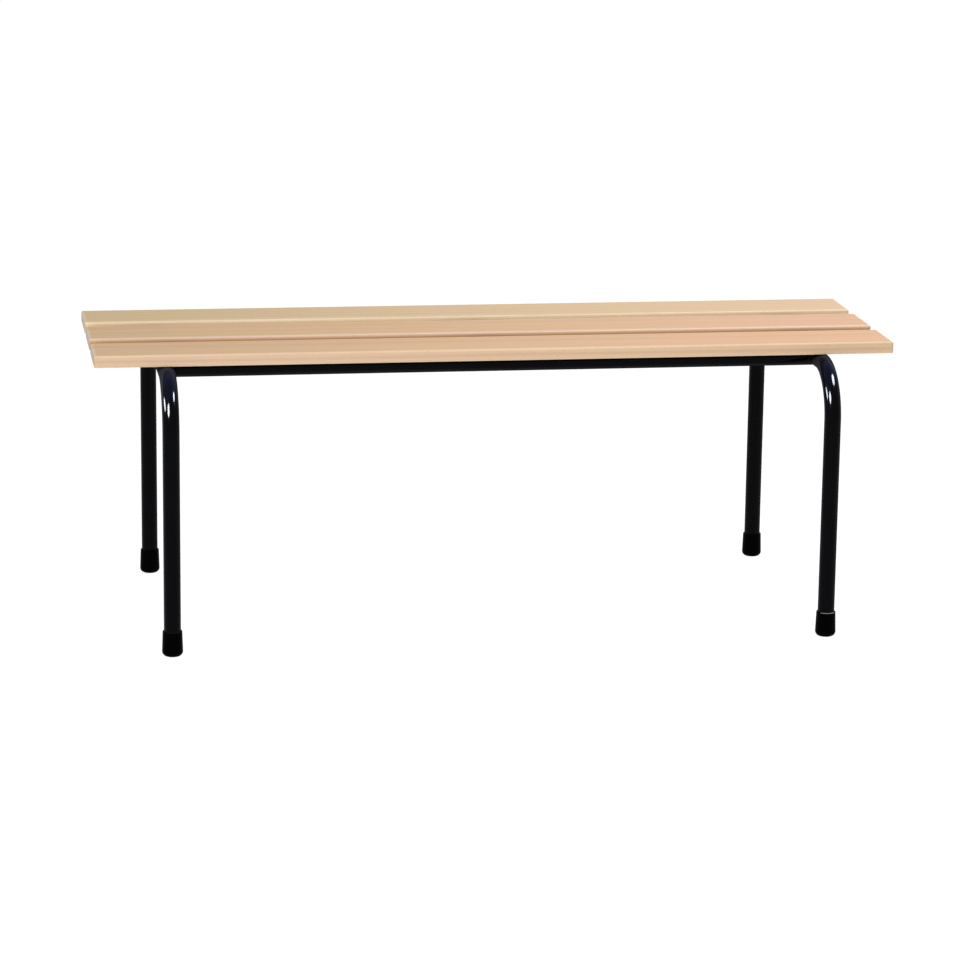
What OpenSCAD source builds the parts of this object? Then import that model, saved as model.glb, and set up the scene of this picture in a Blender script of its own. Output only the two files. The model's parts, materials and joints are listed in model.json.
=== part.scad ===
// Stacking bench: three hardwood slats on two bent tube end frames, joined by two rails and a strut.
// Millimetres. The origin is on the floor under the middle of the seat, X runs along the slats,
// Y from front to rear, and Z up.

/* [Seat] */
// Length of the slats
seat_l = 1200; // [900:10:1800]
// Height of the seat above the floor
seat_h = 438; // [380:1:500]
// Width of a slat
slat_w = 100; // [90:1:120]
// Thickness of a slat
slat_t = 18; // [18:1:30]
// Open gap between neighbouring slats
slat_gap = 33; // [20:1:45]
// Radius along the slats' long edges
slat_edge_r = 3; // [1:0.5:8]
// Radius of a slat's corners, seen from above
slat_corner_r = 3; // [1:0.5:8]
// Radius across the top and bottom edges of a slat's ends
slat_end_r = 3; // [0.5:0.5:5]

/* [Frame] */
// Outside diameter of the tube
tube_d = 25; // [22:0.5:30]
// Wall of the tube
tube_wall = 1.5; // [1:0.25:2.5]
// Radius of the bends at the tube's centreline
bend_r = 75; // [60:1:84]
// Distance from the slats' ends to the end frames' centrelines
frame_inset = 107; // [60:1:200]
// Distance by which the legs' centrelines stand outside the seat
leg_proud = 62; // [55:1:80]
// Gap between a coped tube end and the tube that it is welded to
cope_gap = 0.2; // [0.1:0.1:0.5]

/* [Welds] */
// Leg length of a weld bead
bead_leg = 3; // [2:0.5:4]
// Angle round the tube that a bead covers above and below its middle
bead_reach = 60; // [40:5:65]
// How far a bead's face swells, from 0 for flat to 1 for a quarter circle
bead_swell = 0.5; // [0:0.1:1]
// Gap between a bead's faces and the tubes
bead_gap = 0.05; // [0.05:0.05:0.2]

/* [Screws] */
// Diameter of a screw's shank
screw_d = 5; // [4:0.5:6]
// Depth that a screw reaches into its slat
screw_bite = 13; // [10:1:14]
// Length of a screw's point
screw_point = 5; // [3:0.5:8]
// Diameter of a screw's countersunk head
head_d = 9; // [8:0.5:10]
// Height of the straight rim of a screw's head
head_rim = 0.3; // [0.2:0.1:0.5]
// Depth of a screw's head in the underside of the tube
head_sink = 0.5; // [0.3:0.1:0.8]
// Width across the arms of the cross recess
recess_w = 4.6; // [3:0.1:6]
// Depth of the cross recess
recess_depth = 1.8; // [1:0.1:2]
// Width of one arm of the cross recess
recess_arm = 1.1; // [0.8:0.1:1.4]
// Distance between a slat's two screws on one crossbar
screw_pitch = 48; // [30:1:54]
// Radial clearance round a screw in the tube
tube_hole_gap = 0.25; // [0.1:0.05:0.5]
// Radial clearance round a screw's head in its countersink
sink_gap = 0.1; // [0.05:0.05:0.2]
// Radial clearance round a screw in its pilot hole
pilot_gap = 0.1; // [0.05:0.05:0.2]
// Depth of the pilot hole past the screw's point
pilot_spare = 1; // [0.5:0.5:2]

/* [Feet] */
// Height of a rubber foot
foot_h = 38; // [30:1:60]
// Rubber round the leg where the foot is widest
foot_wall = 3; // [2.5:0.5:5]
// Rubber under the end of the leg
sole_t = 7; // [5:1:12]
// Radius of the rounded edge of the sole
sole_edge_r = 7.5; // [4:0.5:9]
// How much the foot narrows on each side up to its rim
foot_taper = 1; // [0.5:0.1:1.2]
// Outer radius of the foot's rim
rim_r = 1; // [0.3:0.1:1.2]
// Radial clearance between the leg and the foot
foot_gap = 0.05; // [0.05:0.05:0.2]
// Number of tread rings in the sole
tread_count = 2; // [1:1:2]
// Radius of the innermost tread ring
tread_start = 4; // [3.5:0.5:4.5]
// Distance between tread rings
tread_pitch = 2.2; // [2:0.1:2.5]
// Radius of a tread ring's groove
tread_r = 0.7; // [0.4:0.1:0.8]

/* [Hidden] */

$fn = 96;
// Angle between a bead's sections round the tube, and between the points of its face
bead_step = 6;
bead_face_step = 22.5;
// Share of its leg length that a bead keeps at its ends
bead_end_share = 0.3;
// How far a cutting shape runs past the face that it cuts
cut = 1;

wood = "#E3BE99";
enamel = "#0C0D13";
rubber = "#141415";
zinc = "#2F3034";

tube_r = tube_d / 2;
seat_depth = 3 * slat_w + 2 * slat_gap;
slat_step = slat_w + slat_gap;
slat_z = seat_h - slat_t;
axis_z = slat_z - tube_r;
frame_x = seat_l / 2 - frame_inset;
leg_y = seat_depth / 2 + leg_proud;
rail_y = slat_step;
foot_r = tube_r + foot_wall;
head_z = axis_z - tube_r + head_sink;
head_cone = (head_d - screw_d) / 2;
screw_l = slat_z + screw_bite - head_z;

function side_of(name) = name == "left" || name == "front" ? -1 : 1;

// Slats

module rounded_rect(w, h, r) {
    square([w - 2 * r, h], center = true);
    square([w, h - 2 * r], center = true);
    for (x = [-1, 1], y = [-1, 1]) translate([x * (w / 2 - r), y * (h / 2 - r)]) circle(r);
}

// A slat's cross section, side view and plan, each run right through and kept where all three meet
module slat_blank() {
    intersection() {
        rotate([90, 0, 90]) linear_extrude(seat_l, center = true)
            rounded_rect(slat_w, slat_t, slat_edge_r);
        rotate([90, 0, 0]) linear_extrude(slat_w + 2 * cut, center = true)
            rounded_rect(seat_l, slat_t, slat_end_r);
        linear_extrude(slat_t + 2 * cut, center = true)
            rounded_rect(seat_l, slat_w, slat_corner_r);
    }
}

module pilot_holes(places) {
    depth = screw_bite + pilot_spare;
    for (p = places) translate([p.x, p.y, slat_z - cut])
        cylinder(h = depth + cut, r = screw_d / 2 + pilot_gap);
}

module slat(y, places) {
    color(wood) difference() {
        translate([0, y, slat_z + slat_t / 2]) slat_blank();
        pilot_holes(places);
    }
}

// Where a slat is screwed to both crossbars, as [x, y]
function crossbar_places(y) = [
    for (x = [-frame_x, frame_x], dy = [-1, 1]) [x, y + dy * screw_pitch / 2]
];

// Where the middle slat is screwed to the strut
function strut_places() = [for (dy = [-1, 1]) [0, dy * screw_pitch / 2]];

module slat_front() slat(-slat_step, concat(crossbar_places(-slat_step), [[0, -rail_y]]));
module slat_middle() slat(0, concat(crossbar_places(0), strut_places()));
module slat_rear() slat(slat_step, concat(crossbar_places(slat_step), [[0, rail_y]]));

// End frames

// One leg, its bend and half of the crossbar, as a solid bar of radius r
module half_frame(r, leg_foot) {
    bend_z = axis_z - bend_r;
    bend_y = leg_y - bend_r;
    translate([0, leg_y, leg_foot]) cylinder(h = bend_z - leg_foot, r = r);
    translate([0, bend_y, bend_z]) rotate([90, 0, 90]) rotate_extrude(angle = 90)
        translate([bend_r, 0]) circle(r);
    translate([0, 0, axis_z]) rotate([-90, 0, 0]) cylinder(h = bend_y, r = r);
}

module whole_frame(r, leg_foot) {
    half_frame(r, leg_foot);
    mirror([0, 1, 0]) half_frame(r, leg_foot);
}

// The seat for a screw's head, sunk from below
module countersink() {
    r = head_d / 2 + sink_gap;
    translate([0, 0, -head_sink - cut]) cylinder(h = cut + head_sink + head_rim, r = r);
    translate([0, 0, head_rim]) cylinder(h = head_cone, r1 = r, r2 = screw_d / 2 + sink_gap);
}

// Holes straight down through both walls of a tube, countersunk in its underside
module tube_holes(places) {
    for (p = places) {
        translate([p.x, p.y, axis_z])
            cylinder(h = tube_d + 2 * cut, r = screw_d / 2 + tube_hole_gap, center = true);
        translate([p.x, p.y, head_z]) countersink();
    }
}

// Where one end frame is screwed to the three slats
function frame_places(x) = [
    for (s = [-1, 0, 1], dy = [-1, 1]) [x, s * slat_step + dy * screw_pitch / 2]
];

module end_frame(x) {
    color(enamel) difference() {
        translate([x, 0, 0]) whole_frame(tube_r, sole_t);
        translate([x, 0, 0]) whole_frame(tube_r - tube_wall, sole_t - cut);
        tube_holes(frame_places(x));
    }
}

module end_frame_left() end_frame(-frame_x);
module end_frame_right() end_frame(frame_x);

// Rails and strut

// A tube along X whose ends are coped to sit on two tubes along Y, length apart
module coped_tube(length) {
    difference() {
        rotate([0, 90, 0]) cylinder(h = length, r = tube_r, center = true);
        rotate([0, 90, 0]) cylinder(h = length + 2 * cut, r = tube_r - tube_wall, center = true);
        for (s = [-1, 1]) translate([s * length / 2, 0, 0]) rotate([90, 0, 0])
            cylinder(h = 2 * tube_d, r = tube_r + cope_gap, center = true);
    }
}

module rail(y) {
    color(enamel) difference() {
        translate([0, y, axis_z]) coped_tube(2 * frame_x);
        tube_holes([[0, y]]);
    }
}

module rail_front() rail(-rail_y);
module rail_rear() rail(rail_y);

module centre_strut() {
    color(enamel) difference() {
        translate([0, 0, axis_z]) rotate([0, 0, 90]) coped_tube(2 * rail_y);
        tube_holes(strut_places());
    }
}

// Weld beads

// One section of a bead, at angle a round a butting tube that runs along +X from a tube along Y.
// Its corner follows the line where the two tubes meet, and its toes lie along the tubes.
function bead_ring(a) = let (
    r = tube_r + bead_gap,
    fade = sqrt(1 - pow(a / bead_reach, 2) * (1 - pow(bead_end_share, 2))),
    leg = bead_leg * fade,
    corner = [r * cos(a), r * cos(a), r * sin(a)]
) concat([corner], [
    for (f = [0:bead_face_step:90])
        let (reach = (1 - bead_swell) / (cos(f) + sin(f)) + bead_swell)
            corner + leg * reach * [cos(f), sin(f), 0]
]);

// A closed skin over rings that all have the same number of points
module skin(rings) {
    n = len(rings[0]);
    last = len(rings) - 1;
    points = [for (ring = rings) each ring];
    sides = [for (i = [0:last - 1], j = [0:n - 1])
        let (k = (j + 1) % n)
            each [
                [i * n + j, (i + 1) * n + j, (i + 1) * n + k],
                [i * n + j, (i + 1) * n + k, i * n + k]
            ]];
    bottom = [for (j = [1:n - 2]) [0, j, j + 1]];
    top = [for (j = [1:n - 2]) [last * n, last * n + j + 1, last * n + j]];
    polyhedron(points = points, faces = concat(sides, bottom, top));
}

// The two beads on either side of a tube that butts along +X
module joint_beads() {
    rings = [for (a = [-bead_reach:bead_step:bead_reach]) bead_ring(a)];
    for (m = [0, 1]) mirror([0, m, 0]) skin(rings);
}

module frame_beads(x) {
    color(enamel) for (y = [-rail_y, rail_y]) translate([x, y, axis_z])
        rotate([0, 0, x < 0 ? 0 : 180]) joint_beads();
}

module weld_beads_left() frame_beads(-frame_x);
module weld_beads_right() frame_beads(frame_x);

module weld_beads_centre() {
    color(enamel) for (s = [-1, 1]) translate([0, s * rail_y, axis_z])
        rotate([0, 0, -s * 90]) joint_beads();
}

// Screws

// The outline of half a countersunk screw, head down, for turning round Z
module screw_outline() {
    polygon([
        [0, 0], [head_d / 2, 0], [head_d / 2, head_rim], [screw_d / 2, head_rim + head_cone],
        [screw_d / 2, screw_l - screw_point], [0, screw_l]
    ]);
}

module screw() {
    difference() {
        rotate_extrude() screw_outline();
        for (a = [0, 90]) rotate([0, 0, a]) translate([0, 0, recess_depth / 2 - cut / 2])
            cube([recess_w, recess_arm, recess_depth + cut], center = true);
    }
}

module screws(places) {
    color(zinc) for (p = places) translate([p.x, p.y, head_z]) screw();
}

module screws_left() screws(frame_places(-frame_x));
module screws_right() screws(frame_places(frame_x));
module screws_centre() screws(concat(strut_places(), [[0, -rail_y], [0, rail_y]]));

// Feet

// The outline of half a foot, for turning round Z
module foot_outline() {
    top_r = foot_r - foot_taper;
    difference() {
        union() {
            square([foot_r - sole_edge_r, sole_edge_r]);
            translate([foot_r - sole_edge_r, sole_edge_r]) intersection() {
                circle(sole_edge_r);
                translate([0, -sole_edge_r]) square(sole_edge_r);
            }
            polygon([
                [0, sole_edge_r], [foot_r, sole_edge_r],
                [top_r, foot_h - rim_r], [0, foot_h - rim_r]
            ]);
            translate([0, foot_h - rim_r]) square([top_r - rim_r, rim_r]);
            translate([top_r - rim_r, foot_h - rim_r]) intersection() {
                circle(rim_r);
                square(rim_r);
            }
        }
        translate([-cut, sole_t]) square([tube_r + foot_gap + cut, foot_h]);
        for (i = [0:tread_count - 1]) translate([tread_start + i * tread_pitch, 0]) circle(tread_r);
    }
}

module foot(side, end) {
    color(rubber) translate([side_of(side) * frame_x, side_of(end) * leg_y, 0])
        rotate_extrude() foot_outline();
}

module foot_front_left() foot("left", "front");
module foot_front_right() foot("right", "front");
module foot_rear_left() foot("left", "rear");
module foot_rear_right() foot("right", "rear");

slat_front();
slat_middle();
slat_rear();
end_frame_left();
end_frame_right();
rail_front();
rail_rear();
centre_strut();
weld_beads_left();
weld_beads_right();
weld_beads_centre();
screws_left();
screws_right();
screws_centre();
foot_front_left();
foot_front_right();
foot_rear_left();
foot_rear_right();
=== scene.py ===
# Stacking bench: three lacquered beech slats on an enamelled tube frame with rubber feet.
# Metres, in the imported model's frame: X along the slats, Y from front to rear, Z up from the floor.
import json
import math

import bpy
from mathutils import Matrix, Vector

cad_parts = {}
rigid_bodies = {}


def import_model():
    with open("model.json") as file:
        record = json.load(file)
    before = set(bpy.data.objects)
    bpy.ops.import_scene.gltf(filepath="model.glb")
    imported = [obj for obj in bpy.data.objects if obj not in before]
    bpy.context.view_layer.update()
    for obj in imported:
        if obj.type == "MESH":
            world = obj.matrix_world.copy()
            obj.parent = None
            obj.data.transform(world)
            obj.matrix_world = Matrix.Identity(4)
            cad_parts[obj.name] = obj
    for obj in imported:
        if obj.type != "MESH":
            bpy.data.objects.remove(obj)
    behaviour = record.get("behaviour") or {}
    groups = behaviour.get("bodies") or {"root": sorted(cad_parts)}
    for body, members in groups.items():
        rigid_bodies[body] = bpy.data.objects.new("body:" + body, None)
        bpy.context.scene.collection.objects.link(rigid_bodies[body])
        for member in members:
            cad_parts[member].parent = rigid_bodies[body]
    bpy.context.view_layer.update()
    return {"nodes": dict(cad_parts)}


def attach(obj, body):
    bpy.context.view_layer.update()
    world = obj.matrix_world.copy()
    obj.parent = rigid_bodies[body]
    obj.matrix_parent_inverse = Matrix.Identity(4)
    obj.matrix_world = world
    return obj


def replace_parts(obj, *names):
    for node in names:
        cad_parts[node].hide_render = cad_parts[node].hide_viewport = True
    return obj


for left_over in list(bpy.data.objects):
    bpy.data.objects.remove(left_over)

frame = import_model()

MM = 0.001

# Sizes of the CAD model that the finishes and the weld beads go by
SLAT_L = 1200 * MM
SLAT_W = 100 * MM
SLAT_STEP = 133 * MM
SEAT_H = 438 * MM
FRAME_X = 493 * MM
RAIL_Y = 133 * MM
LEG_Y = 245 * MM
AXIS_Z = 407.5 * MM
TUBE_R = 12.5 * MM
FOOT_H = 38 * MM


def linear(hex_colour):
    """An sRGB hex colour as linear RGBA."""
    parts = [int(hex_colour[i:i + 2], 16) / 255 for i in (1, 3, 5)]
    return [c / 12.92 if c <= 0.04045 else ((c + 0.055) / 1.055) ** 2.4 for c in parts] + [1]


def add(tree, kind, inputs=None, **settings):
    """Adds a shader node. inputs gives its sockets, by name or number, a value or the output that feeds them.

    A Mix node of colours takes its share at 0 and the colours at 6 and 7, and gives the result at output 2.
    """
    new = tree.nodes.new("ShaderNode" + kind)
    for name, value in settings.items():
        setattr(new, name, value)
    for name, value in (inputs or {}).items():
        if isinstance(value, bpy.types.NodeSocket):
            tree.links.new(value, new.inputs[name])
        else:
            new.inputs[name].default_value = value
    return new


def blank_material(name):
    """A new material with an empty node tree."""
    material = bpy.data.materials.new(name)
    material.use_nodes = True
    material.node_tree.nodes.clear()
    return material, material.node_tree


# Finishes

RING_PITCH = 9 * MM
# A wave texture of scale 1 repeats every pi / 10 units
RING_SCALE = math.pi / 10 / RING_PITCH


def board_tones(tree, place, facing, middle, faces, sides, edge, edge_drop):
    """The colour of a slat without its grain, painted highlights on its edges included."""
    along, over, height = add(tree, "SeparateXYZ", {0: place}).outputs
    # Boards change tone slowly, over about 250 mm along them and 30 mm across
    cloud_place = add(tree, "Mapping", {"Vector": place, "Scale": (4, 33, 33)}).outputs[0]
    cloud = add(tree, "TexNoise", {"Vector": cloud_place, "Scale": 1.0, "Detail": 2.0, "Roughness": 0.5})
    drift = add(tree, "MapRange", {"Value": along, "From Min": -SLAT_L / 2, "From Max": SLAT_L / 2,
                                   "To Min": -0.5, "To Max": 0.5})
    pinkness = add(tree, "Math", {0: drift.outputs[0], 1: cloud.outputs[0]}, operation="ADD", use_clamp=True)
    face = add(tree, "Mix", {0: pinkness.outputs[0], 6: linear(faces[0]), 7: linear(faces[1])}, data_type="RGBA")
    # The side tones are painted shade on the middle slat and painted light on the rear slat
    sideways = add(tree, "Math", {0: facing[1]}, operation="ABSOLUTE")
    is_side = add(tree, "MapRange", {"Value": sideways.outputs[0], "From Min": 0.65, "From Max": 0.90})
    side = add(tree, "Mix", {0: pinkness.outputs[0], 6: linear(sides[0]), 7: linear(sides[1])}, data_type="RGBA")
    sided = add(tree, "Mix", {0: is_side.outputs[0], 6: face.outputs[2], 7: side.outputs[2]}, data_type="RGBA")

    # A painted highlight along the upper edges reaches 6 mm in from each long side and 4 mm in from each end
    off_middle = add(tree, "Math", {0: over, 1: middle}, operation="SUBTRACT")
    across = add(tree, "Math", {0: off_middle.outputs[0]}, operation="ABSOLUTE")
    near_side = add(tree, "MapRange", {"Value": across.outputs[0], "From Min": SLAT_W / 2 - 6 * MM,
                                       "From Max": SLAT_W / 2 - 3 * MM})
    lengthwise = add(tree, "Math", {0: along}, operation="ABSOLUTE")
    near_end = add(tree, "MapRange", {"Value": lengthwise.outputs[0], "From Min": SLAT_L / 2 - 4 * MM,
                                      "From Max": SLAT_L / 2 - 2 * MM})
    near = add(tree, "Math", {0: near_side.outputs[0], 1: near_end.outputs[0]}, operation="MAXIMUM")
    high = add(tree, "MapRange", {"Value": height, "From Min": SEAT_H - edge_drop, "From Max": SEAT_H - MM})
    is_edge = add(tree, "Math", {0: near.outputs[0], 1: high.outputs[0]}, operation="MULTIPLY")
    edged = add(tree, "Mix", {0: is_edge.outputs[0], 6: sided.outputs[2], 7: linear(edge)}, data_type="RGBA")

    # The lower roundings show as a cream line: a painted highlight for the light they take up from the floor
    lower = add(tree, "MapRange", {"Value": facing[2], "From Min": -0.30, "From Max": -0.50})
    bottom = add(tree, "MapRange", {"Value": facing[2], "From Min": -0.97, "From Max": -0.998})
    is_floor_highlight = add(tree, "Math", {0: lower.outputs[0], 1: bottom.outputs[0]}, operation="SUBTRACT")
    board = add(tree, "Mix", {0: is_floor_highlight.outputs[0], 6: edged.outputs[2], 7: linear("#FFE9C6")}, data_type="RGBA")
    return board.outputs[2]


def with_grain(tree, place, fibre, pith, board):
    """Lays growth rings, fibre and ray flecks on a board's colour."""
    from_pith = add(tree, "Mapping", {"Vector": place, "Location": (0, -pith[0], -pith[1]),
                                      "Scale": (0.12, 1, 1)}).outputs[0]
    rings = add(tree, "TexWave", {"Vector": from_pith, "Scale": RING_SCALE, "Distortion": 7.0, "Detail": 2.0,
                                  "Detail Scale": 0.12, "Detail Roughness": 0.5},
                wave_type="RINGS", rings_direction="X", wave_profile="SIN")
    grain = add(tree, "Math", {0: rings.outputs["Fac"], 1: fibre}, operation="ADD")
    depth = add(tree, "MapRange", {"Value": grain.outputs[0], "From Min": 0.3, "From Max": 1.6,
                                   "To Min": 0.0, "To Max": 0.40})
    grained = add(tree, "Mix", {0: depth.outputs[0], 6: board, 7: linear("#CDA079")}, data_type="RGBA")
    # Ray flecks 1 to 4 mm long and half a millimetre wide, hardly darker than the board
    fleck_place = add(tree, "Mapping", {"Vector": place, "Scale": (250, 1300, 1300)}).outputs[0]
    fleck_noise = add(tree, "TexNoise", {"Vector": fleck_place, "Scale": 1.0, "Detail": 1.0, "Roughness": 0.4})
    fleck = add(tree, "MapRange", {"Value": fleck_noise.outputs[0], "From Min": 0.60, "From Max": 0.75,
                                   "To Min": 0.0, "To Max": 0.35})
    flecked = add(tree, "Mix", {0: fleck.outputs[0], 6: grained.outputs[2], 7: linear("#B98758")}, data_type="RGBA")
    return flecked.outputs[2]


def with_end_grain(tree, place, facing, board):
    """Puts end grain on a board's ends: sawn across, the wood takes more lacquer and looks greyer, pores as dots."""
    pore_place = add(tree, "Mapping", {"Vector": place, "Scale": (300, 900, 900)}).outputs[0]
    pores = add(tree, "TexNoise", {"Vector": pore_place, "Scale": 1.0, "Detail": 2.0, "Roughness": 0.7})
    pore_tone = add(tree, "MapRange", {"Value": pores.outputs[0], "From Min": 0.35, "From Max": 0.65})
    end_grain = add(tree, "Mix", {0: pore_tone.outputs[0], 6: linear("#DDCBC3"), 7: linear("#C6AFA5")},
                    data_type="RGBA")
    endwise = add(tree, "Math", {0: facing[0]}, operation="ABSOLUTE")
    is_end = add(tree, "MapRange", {"Value": endwise.outputs[0], "From Min": 0.80, "From Max": 0.97})
    colour = add(tree, "Mix", {0: is_end.outputs[0], 6: board, 7: end_grain.outputs[2]}, data_type="RGBA")
    return colour.outputs[2]


def lacquered_beech(name, middle, faces, sides, edge, edge_drop, pith):
    """Planed beech under satin lacquer: faint growth rings and fine fibre, drifting from straw to pink along a slat.

    middle is the slat's place across the seat. faces and sides are its tones at the straw and the pink end, on its
    wide faces and on its long sides, which are cut on the quarter; the middle slat's sides are darkened as painted
    shade in the gaps beside it, and the rear slat's sides lightened as painted light. The edge tone is a painted
    highlight along the upper edges, and the edge drop is how far down the sides that highlight runs. pith is the
    point, seen along the slat, that its growth rings run round, so that each slat is cut from another place in the
    log.
    """
    material, tree = blank_material(name)
    place = add(tree, "TexCoord").outputs["Object"]
    facing = add(tree, "SeparateXYZ", {0: add(tree, "NewGeometry").outputs["Normal"]}).outputs
    # Fibre bundles about 2 mm across: the real ones are finer, and would blur away at this size
    fibre_place = add(tree, "Mapping", {"Vector": place, "Scale": (6, 500, 500)}).outputs[0]
    fibre = add(tree, "TexNoise", {"Vector": fibre_place, "Scale": 1.0, "Detail": 3.0, "Roughness": 0.55}).outputs[0]
    board = board_tones(tree, place, facing, middle, faces, sides, edge, edge_drop)
    grained = with_grain(tree, place, fibre, pith, board)
    colour = with_end_grain(tree, place, facing, grained)
    shine = add(tree, "MapRange", {"Value": fibre, "To Min": 0.36, "To Max": 0.50})
    # Grain that telegraphs through the lacquer, a few hundredths of a millimetre deep
    relief = add(tree, "Bump", {"Height": fibre, "Strength": 0.25, "Distance": 0.1 * MM})
    surface = add(tree, "BsdfPrincipled", {"Base Color": colour, "Roughness": shine.outputs[0],
                                           "IOR": 1.5, "Specular IOR Level": 0.10, "Normal": relief.outputs[0]})
    add(tree, "OutputMaterial", {"Surface": surface.outputs[0]})
    return material


def stove_enamel():
    """Steel tube in black stove enamel: near black and glossy, with a faint orange peel."""
    material, tree = blank_material("black stove-enamelled steel")
    place = add(tree, "TexCoord").outputs["Object"]
    # Orange peel: waves about 3 mm across
    peel = add(tree, "TexNoise", {"Vector": place, "Scale": 330.0, "Detail": 1.0, "Roughness": 0.4})
    relief = add(tree, "Bump", {"Height": peel.outputs[0], "Strength": 0.05, "Distance": 0.1 * MM})
    # A thin place here and there, about 40 mm across, where the coat is a little bluer
    coat = add(tree, "TexNoise", {"Vector": place, "Scale": 25.0, "Detail": 2.0, "Roughness": 0.5})
    colour = add(tree, "Mix", {0: coat.outputs[0], 6: linear("#030305"), 7: linear("#040508")}, data_type="RGBA")
    shine = add(tree, "MapRange", {"Value": coat.outputs[0], "To Min": 0.08, "To Max": 0.13})
    # Seen edge on the coat is hazy, so that the tubes stay black up to their outlines
    edge_on = add(tree, "LayerWeight", {"Blend": 0.5}).outputs["Facing"]
    haze = add(tree, "MapRange", {"Value": edge_on, "From Min": 0.40, "From Max": 0.65,
                                  "To Min": 0.0, "To Max": 0.95})
    roughness = add(tree, "Math", {0: shine.outputs[0], 1: haze.outputs[0]}, operation="MAXIMUM")
    surface = add(tree, "BsdfPrincipled", {"Base Color": colour.outputs[2], "Roughness": roughness.outputs[0],
                                           "IOR": 1.5, "Specular IOR Level": 0.04, "Normal": relief.outputs[0]})
    add(tree, "OutputMaterial", {"Surface": surface.outputs[0]})
    return material


def moulded_rubber(name, rim_highlight_tone):
    """Deep black rubber from a smooth mould: hardly any shine, faintly grainy, a little greyer near the floor.

    The second argument is the tone of a painted highlight on the rim at the top of a front foot, along its front.
    """
    material, tree = blank_material(name)
    place = add(tree, "TexCoord").outputs["Object"]
    # The mould's grain, drawn 1 mm across so that it shows
    grain = add(tree, "TexNoise", {"Vector": place, "Scale": 900.0, "Detail": 2.0, "Roughness": 0.6})
    relief = add(tree, "Bump", {"Height": grain.outputs[0], "Strength": 0.2, "Distance": 0.1 * MM})
    spot = add(tree, "SeparateXYZ", {0: place}).outputs
    # Scuffs 4 mm long and 2 mm high, on the lowest 5 mm
    scuff_place = add(tree, "Mapping", {"Vector": place, "Scale": (250, 250, 600)}).outputs[0]
    scuff_noise = add(tree, "TexNoise", {"Vector": scuff_place, "Scale": 1.0, "Detail": 3.0, "Roughness": 0.6})
    low = add(tree, "MapRange", {"Value": spot[2], "From Min": 0.0, "From Max": 5 * MM, "To Min": 0.3, "To Max": 0.0})
    scuff = add(tree, "Math", {0: low.outputs[0], 1: scuff_noise.outputs[0]}, operation="MULTIPLY")
    body = add(tree, "Mix", {0: scuff.outputs[0], 6: linear("#020203"), 7: linear("#191817")}, data_type="RGBA")
    # A painted highlight on the top of the rim, where it faces up, along the front of a front foot
    upward = add(tree, "SeparateXYZ", {0: add(tree, "NewGeometry").outputs["Normal"]}).outputs[2]
    faces_up = add(tree, "MapRange", {"Value": upward, "From Min": 0.4, "From Max": 0.7})
    high = add(tree, "MapRange", {"Value": spot[2], "From Min": FOOT_H - 2 * MM, "From Max": FOOT_H - MM})
    rim = add(tree, "Math", {0: faces_up.outputs[0], 1: high.outputs[0]}, operation="MULTIPLY")
    # The painted highlight is as wide as the tube: the part of the rim that lies 8.5 mm and more ahead of the leg's
    # centre line
    ahead = add(tree, "MapRange", {"Value": spot[1], "From Min": -LEG_Y - 8.5 * MM, "From Max": -LEG_Y - 10.5 * MM})
    is_rim_highlight = add(tree, "Math", {0: rim.outputs[0], 1: ahead.outputs[0]}, operation="MULTIPLY")
    colour = add(tree, "Mix", {0: is_rim_highlight.outputs[0], 6: body.outputs[2], 7: linear(rim_highlight_tone)}, data_type="RGBA")
    shine = add(tree, "MapRange", {"Value": grain.outputs[0], "To Min": 0.34, "To Max": 0.44})
    surface = add(tree, "BsdfPrincipled", {"Base Color": colour.outputs[2], "Roughness": shine.outputs[0],
                                           "IOR": 1.52, "Specular IOR Level": 0.010, "Normal": relief.outputs[0]})
    add(tree, "OutputMaterial", {"Surface": surface.outputs[0]})
    return material


def black_zinc():
    """Screws in black zinc plate: a near black metal, slightly clouded, with a soft shine."""
    material, tree = blank_material("black zinc-plated steel")
    place = add(tree, "TexCoord").outputs["Object"]
    # Clouds in the plating, about 2.5 mm across
    cloud = add(tree, "TexNoise", {"Vector": place, "Scale": 400.0, "Detail": 3.0, "Roughness": 0.6})
    colour = add(tree, "Mix", {0: cloud.outputs[0], 6: linear("#3A3B3F"), 7: linear("#242528")}, data_type="RGBA")
    shine = add(tree, "MapRange", {"Value": cloud.outputs[0], "To Min": 0.28, "To Max": 0.45})
    surface = add(tree, "BsdfPrincipled", {"Base Color": colour.outputs[2], "Metallic": 1.0,
                                           "Roughness": shine.outputs[0]})
    add(tree, "OutputMaterial", {"Surface": surface.outputs[0]})
    return material


enamel = stove_enamel()
zinc = black_zinc()
# Both front feet carry a painted highlight on their rims; the front right one's is the brighter
rubber = moulded_rubber("moulded black rubber", "#1E1E1F")
rim_highlit_rubber = moulded_rubber("moulded black rubber, painted pale highlight on top", "#9C9C9E")
FINISHES = {
    "end_frame": enamel, "rail": enamel, "centre_strut": enamel,
    "screws": zinc, "foot": rubber, "foot_front_right": rim_highlit_rubber,
}
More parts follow.
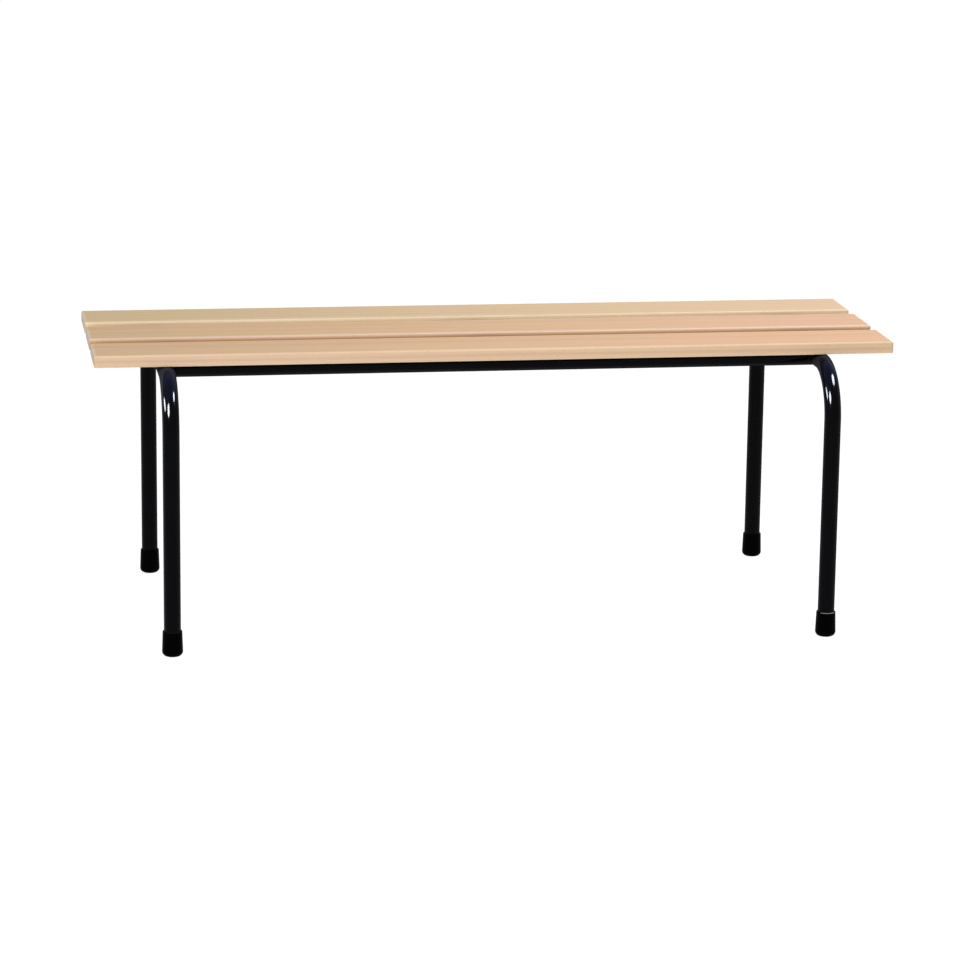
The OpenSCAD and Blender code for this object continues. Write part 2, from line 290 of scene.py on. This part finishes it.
# The edge tones are painted highlights along each slat's upper edges; on the middle slat they run further down its
# sides
SLATS = {
    "front": {"middle": -SLAT_STEP, "faces": ("#E3BF8F", "#E2B491"), "sides": ("#E6C7AB", "#E9CBA8"),
              "edge": "#FFE2C0", "edge_drop": 3 * MM, "pith": (-0.150, 0.330)},
    # The middle slat's side tones are dark as painted shade in the gaps beside it
    "middle": {"middle": 0.0, "faces": ("#E3C08B", "#E2B494"), "sides": ("#C8945A", "#C69164"),
               "edge": "#FFE6D2", "edge_drop": 6 * MM, "pith": (0.032, 0.360)},
    # The rear slat's side tones are pale as painted light, against the shade in the gap before it
    "rear": {"middle": SLAT_STEP, "faces": ("#E3C892", "#E2C4A1"), "sides": ("#F6DCB0", "#F2D6B2"),
             "edge": "#FFEFD0", "edge_drop": 4 * MM, "pith": (0.070, 0.520)},
}
for place_name, slat in SLATS.items():
    FINISHES["slat_" + place_name] = lacquered_beech("lacquered beech, %s slat" % place_name, **slat)

# A carried-over node takes the finish whose key its name starts with, and the later one where two do
for name, node in frame["nodes"].items():
    for key, material in FINISHES.items():
        if name.startswith(key):
            node.data.materials.clear()
            node.data.materials.append(material)


# Weld beads

BEAD_LEG = 3 * MM
BEAD_GAP = 0.05 * MM
# A bead runs this many degrees each way round the butting tube, and thins to this share of its middle
BEAD_REACH = 60
BEAD_END_SHARE = 0.3
RIPPLE_PITCH = 1.6 * MM
RIPPLE_DEPTH = 0.10
# How far the middle of a ripple runs ahead of its ends, as a share of the pitch
RIPPLE_BOW = 0.5
# Sections along a bead, and steps across the face of each
BEAD_RINGS = 150
BEAD_FACE = 12


def bead_section(turn):
    """One section of a bead, turn degrees round the butting tube, which runs along +X from a tube along Y.

    Its corner follows the line where the tubes meet. Its face swells in crescents, one for each
    drop of filler that the welder laid.
    """
    angle = math.radians(turn)
    radius = TUBE_R + BEAD_GAP
    corner = Vector((radius * math.cos(angle), radius * math.cos(angle), radius * math.sin(angle)))
    fade = math.sqrt(1 - (turn / BEAD_REACH) ** 2 * (1 - BEAD_END_SHARE ** 2))
    run = radius * angle
    section = [corner]
    for i in range(BEAD_FACE + 1):
        f = math.radians(90) * i / BEAD_FACE
        crescent = run / RIPPLE_PITCH + RIPPLE_BOW * math.sin(2 * f)
        ripple = 1 - RIPPLE_DEPTH * (crescent % 1) * math.sin(2 * f)
        # Halfway between a flat face and a round one
        swell = 0.5 / (math.cos(f) + math.sin(f)) + 0.5
        section.append(corner + BEAD_LEG * fade * swell * ripple * Vector((math.cos(f), math.sin(f), 0)))
    return section


def weld_bead():
    """Points and faces of the bead on the +Y side of such a joint."""
    sections = [bead_section(BEAD_REACH * (2 * i / BEAD_RINGS - 1)) for i in range(BEAD_RINGS + 1)]
    size = BEAD_FACE + 2
    points = [p for section in sections for p in section]
    faces = [(i * size + j, (i + 1) * size + j, (i + 1) * size + (j + 1) % size, i * size + (j + 1) % size)
             for i in range(BEAD_RINGS) for j in range(size)]
    faces.append(tuple(range(size)))
    faces.append(tuple(reversed(range(BEAD_RINGS * size, (BEAD_RINGS + 1) * size))))
    return points, faces


def weld_joints(name, joints):
    """A piece with both beads of each joint, given as (x, y, turn of the butting tube about Z)."""
    bead_points, bead_faces = weld_bead()
    points, faces = [], []
    for x, y, turn in joints:
        for side in (1, -1):
            place = Matrix.Translation((x, y, AXIS_Z)) @ Matrix.Rotation(math.radians(turn), 4, "Z")
            place = place @ Matrix.Diagonal((1, side, 1, 1))
            first = len(points)
            points += [place @ p for p in bead_points]
            faces += [tuple(first + k for k in (face if side > 0 else reversed(face))) for face in bead_faces]
    mesh = bpy.data.meshes.new(name)
    mesh.from_pydata(points, [], faces)
    mesh.validate()
    mesh.shade_smooth()
    mesh.materials.append(enamel)
    piece = bpy.data.objects.new(name, mesh)
    bpy.context.scene.collection.objects.link(piece)
    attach(piece, "root")
    return piece


BEADS = {
    "left": [(-FRAME_X, -RAIL_Y, 0), (-FRAME_X, RAIL_Y, 0)],
    "right": [(FRAME_X, -RAIL_Y, 180), (FRAME_X, RAIL_Y, 180)],
    "centre": [(0, -RAIL_Y, 90), (0, RAIL_Y, -90)],
}
for place_name, joints in BEADS.items():
    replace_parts(weld_joints("rippled_beads_" + place_name, joints), "weld_beads_" + place_name)


# Studio

def seen_share(tree, share):
    """Gives share to rays from the camera, gloss and glass, which see the studio as white, and 0 to all others."""
    path = add(tree, "LightPath").outputs
    seen = add(tree, "Math", {0: path["Is Camera Ray"], 1: path["Is Glossy Ray"]}, operation="MAXIMUM")
    seen = add(tree, "Math", {0: seen.outputs[0], 1: path["Is Transmission Ray"]}, operation="MAXIMUM")
    return add(tree, "Math", {0: seen.outputs[0], 1: share}, operation="MULTIPLY").outputs[0]


# The floor shows as three parts of glow to one of lit paper, which together reach white and keep a faint shadow
FLOOR_GLOW_SHARE = 0.75
FLOOR_GLOW = 1.25
floor_material, tree = blank_material("white paper floor")
glow_share = seen_share(tree, FLOOR_GLOW_SHARE)
paper = add(tree, "BsdfDiffuse", {"Color": linear("#F4F4F4")})
glow = add(tree, "Emission", {"Color": (1, 1, 1, 1), "Strength": FLOOR_GLOW})
mixed = add(tree, "MixShader", {0: glow_share, 1: paper.outputs[0], 2: glow.outputs[0]})
add(tree, "OutputMaterial", {"Surface": mixed.outputs[0]})

FLOOR_HALF = 12.0
floor_mesh = bpy.data.meshes.new("floor")
floor_mesh.from_pydata([(-FLOOR_HALF, -FLOOR_HALF, 0), (FLOOR_HALF, -FLOOR_HALF, 0),
                        (FLOOR_HALF, FLOOR_HALF, 0), (-FLOOR_HALF, FLOOR_HALF, 0)], [], [(0, 1, 2, 3)])
floor_mesh.materials.append(floor_material)
floor = bpy.data.objects.new("floor", floor_mesh)
bpy.context.scene.collection.objects.link(floor)

# The world lights the bench at this level, and shows as white itself
WORLD_LIGHT = 0.33
world = bpy.data.worlds.new("white studio")
world.use_nodes = True
world.node_tree.nodes.clear()
bpy.context.scene.world = world
tree = world.node_tree
level = add(tree, "Math", {0: seen_share(tree, 1 - WORLD_LIGHT), 1: WORLD_LIGHT}, operation="ADD")
sky = add(tree, "Background", {"Color": (1, 1, 1, 1), "Strength": level.outputs[0]})
add(tree, "OutputWorld", {"Surface": sky.outputs[0]})


def softbox(name, place, aim, size, watts, colour="#FFFFFF", matt=True, gloss=True, shape="RECTANGLE", only=None):
    """A softbox at place, turned towards aim, that no camera sees. It lights matt surfaces, shows in gloss, or both.

    only is the collection of the pieces that it lights. Without it, the lamp lights them all.
    """
    light = bpy.data.lights.new(name, "AREA")
    light.shape = shape
    light.size, light.size_y = size
    light.energy = watts
    light.color = linear(colour)[:3]
    lamp = bpy.data.objects.new(name, light)
    lamp.location = place
    lamp.rotation_mode = "QUATERNION"
    lamp.rotation_quaternion = (Vector(aim) - Vector(place)).to_track_quat("-Z", "Y")
    lamp.visible_camera = False
    lamp.visible_diffuse = matt
    lamp.visible_glossy = gloss
    lamp.light_linking.receiver_collection = only
    bpy.context.scene.collection.objects.link(lamp)


SEAT = (0, 0, 0.43)
softbox("overhead softbox", (0.95, 0, 2.03), (0.95, 0, 0), (1.6, 1.6), 23.7, gloss=False)
softbox("front softbox", (-1.6, -3.0, 1.15), SEAT, (1.6, 1.6), 54, gloss=False)

# What the enamel shows on each bend of the tubes: a deep blue strip of ceiling, and three glints
enamelled = bpy.data.collections.new("enamelled steel")
for piece in bpy.context.scene.objects:
    if piece.type == "MESH" and enamel.name in piece.data.materials:
        enamelled.objects.link(piece)
softbox("ceiling strip", (0, -0.05, 2.6), (0, -0.05, 0), (6.0, 2.7), 158, "#6F82FF", matt=False, only=enamelled)
GLINTS = [
    ("high left glint", (-2.13, -2.60, 2.38), (1.4, 1.55), 2300),
    ("right glint", (1.81, -0.67, 2.65), (1.2, 0.85), 760),
    ("low left glint", (-5.80, 0.02, 2.42), (2.5, 1.2), 2250),
]
for name, place, size, watts in GLINTS:
    softbox(name, place, SEAT, size, watts, "#E6ECFF", matt=False, shape="ELLIPSE", only=enamelled)


# Camera, where the photograph's was: fitted to the slats, the tubes and the feet. Its angles are in radians

CAMERA_PLACE = (-862.5 * MM, -5373.3 * MM, 1473.2 * MM)
CAMERA_YAW = 0.15930
CAMERA_PITCH = 0.23052
CAMERA_ROLL = 0.01271
FOCAL_PIXELS = 3619.9
PHOTO_PIXELS = 960
SENSOR = 36.0

forward = Vector((math.sin(CAMERA_YAW) * math.cos(CAMERA_PITCH), math.cos(CAMERA_YAW) * math.cos(CAMERA_PITCH),
                  -math.sin(CAMERA_PITCH)))
level_right = Vector((math.cos(CAMERA_YAW), -math.sin(CAMERA_YAW), 0))
level_up = level_right.cross(forward)
right = math.cos(CAMERA_ROLL) * level_right + math.sin(CAMERA_ROLL) * level_up
up = math.cos(CAMERA_ROLL) * level_up - math.sin(CAMERA_ROLL) * level_right
photo_camera = bpy.data.cameras.new("photo camera")
photo_camera.sensor_width = SENSOR
photo_camera.lens = SENSOR * FOCAL_PIXELS / PHOTO_PIXELS
camera = bpy.data.objects.new("photo camera", photo_camera)
camera.matrix_world = Matrix.Translation(CAMERA_PLACE) @ Matrix((right, up, -forward)).transposed().to_4x4()
bpy.context.scene.collection.objects.link(camera)
bpy.context.scene.camera = camera

bpy.context.scene.view_settings.view_transform = "Standard"

bpy.context.view_layer.update()
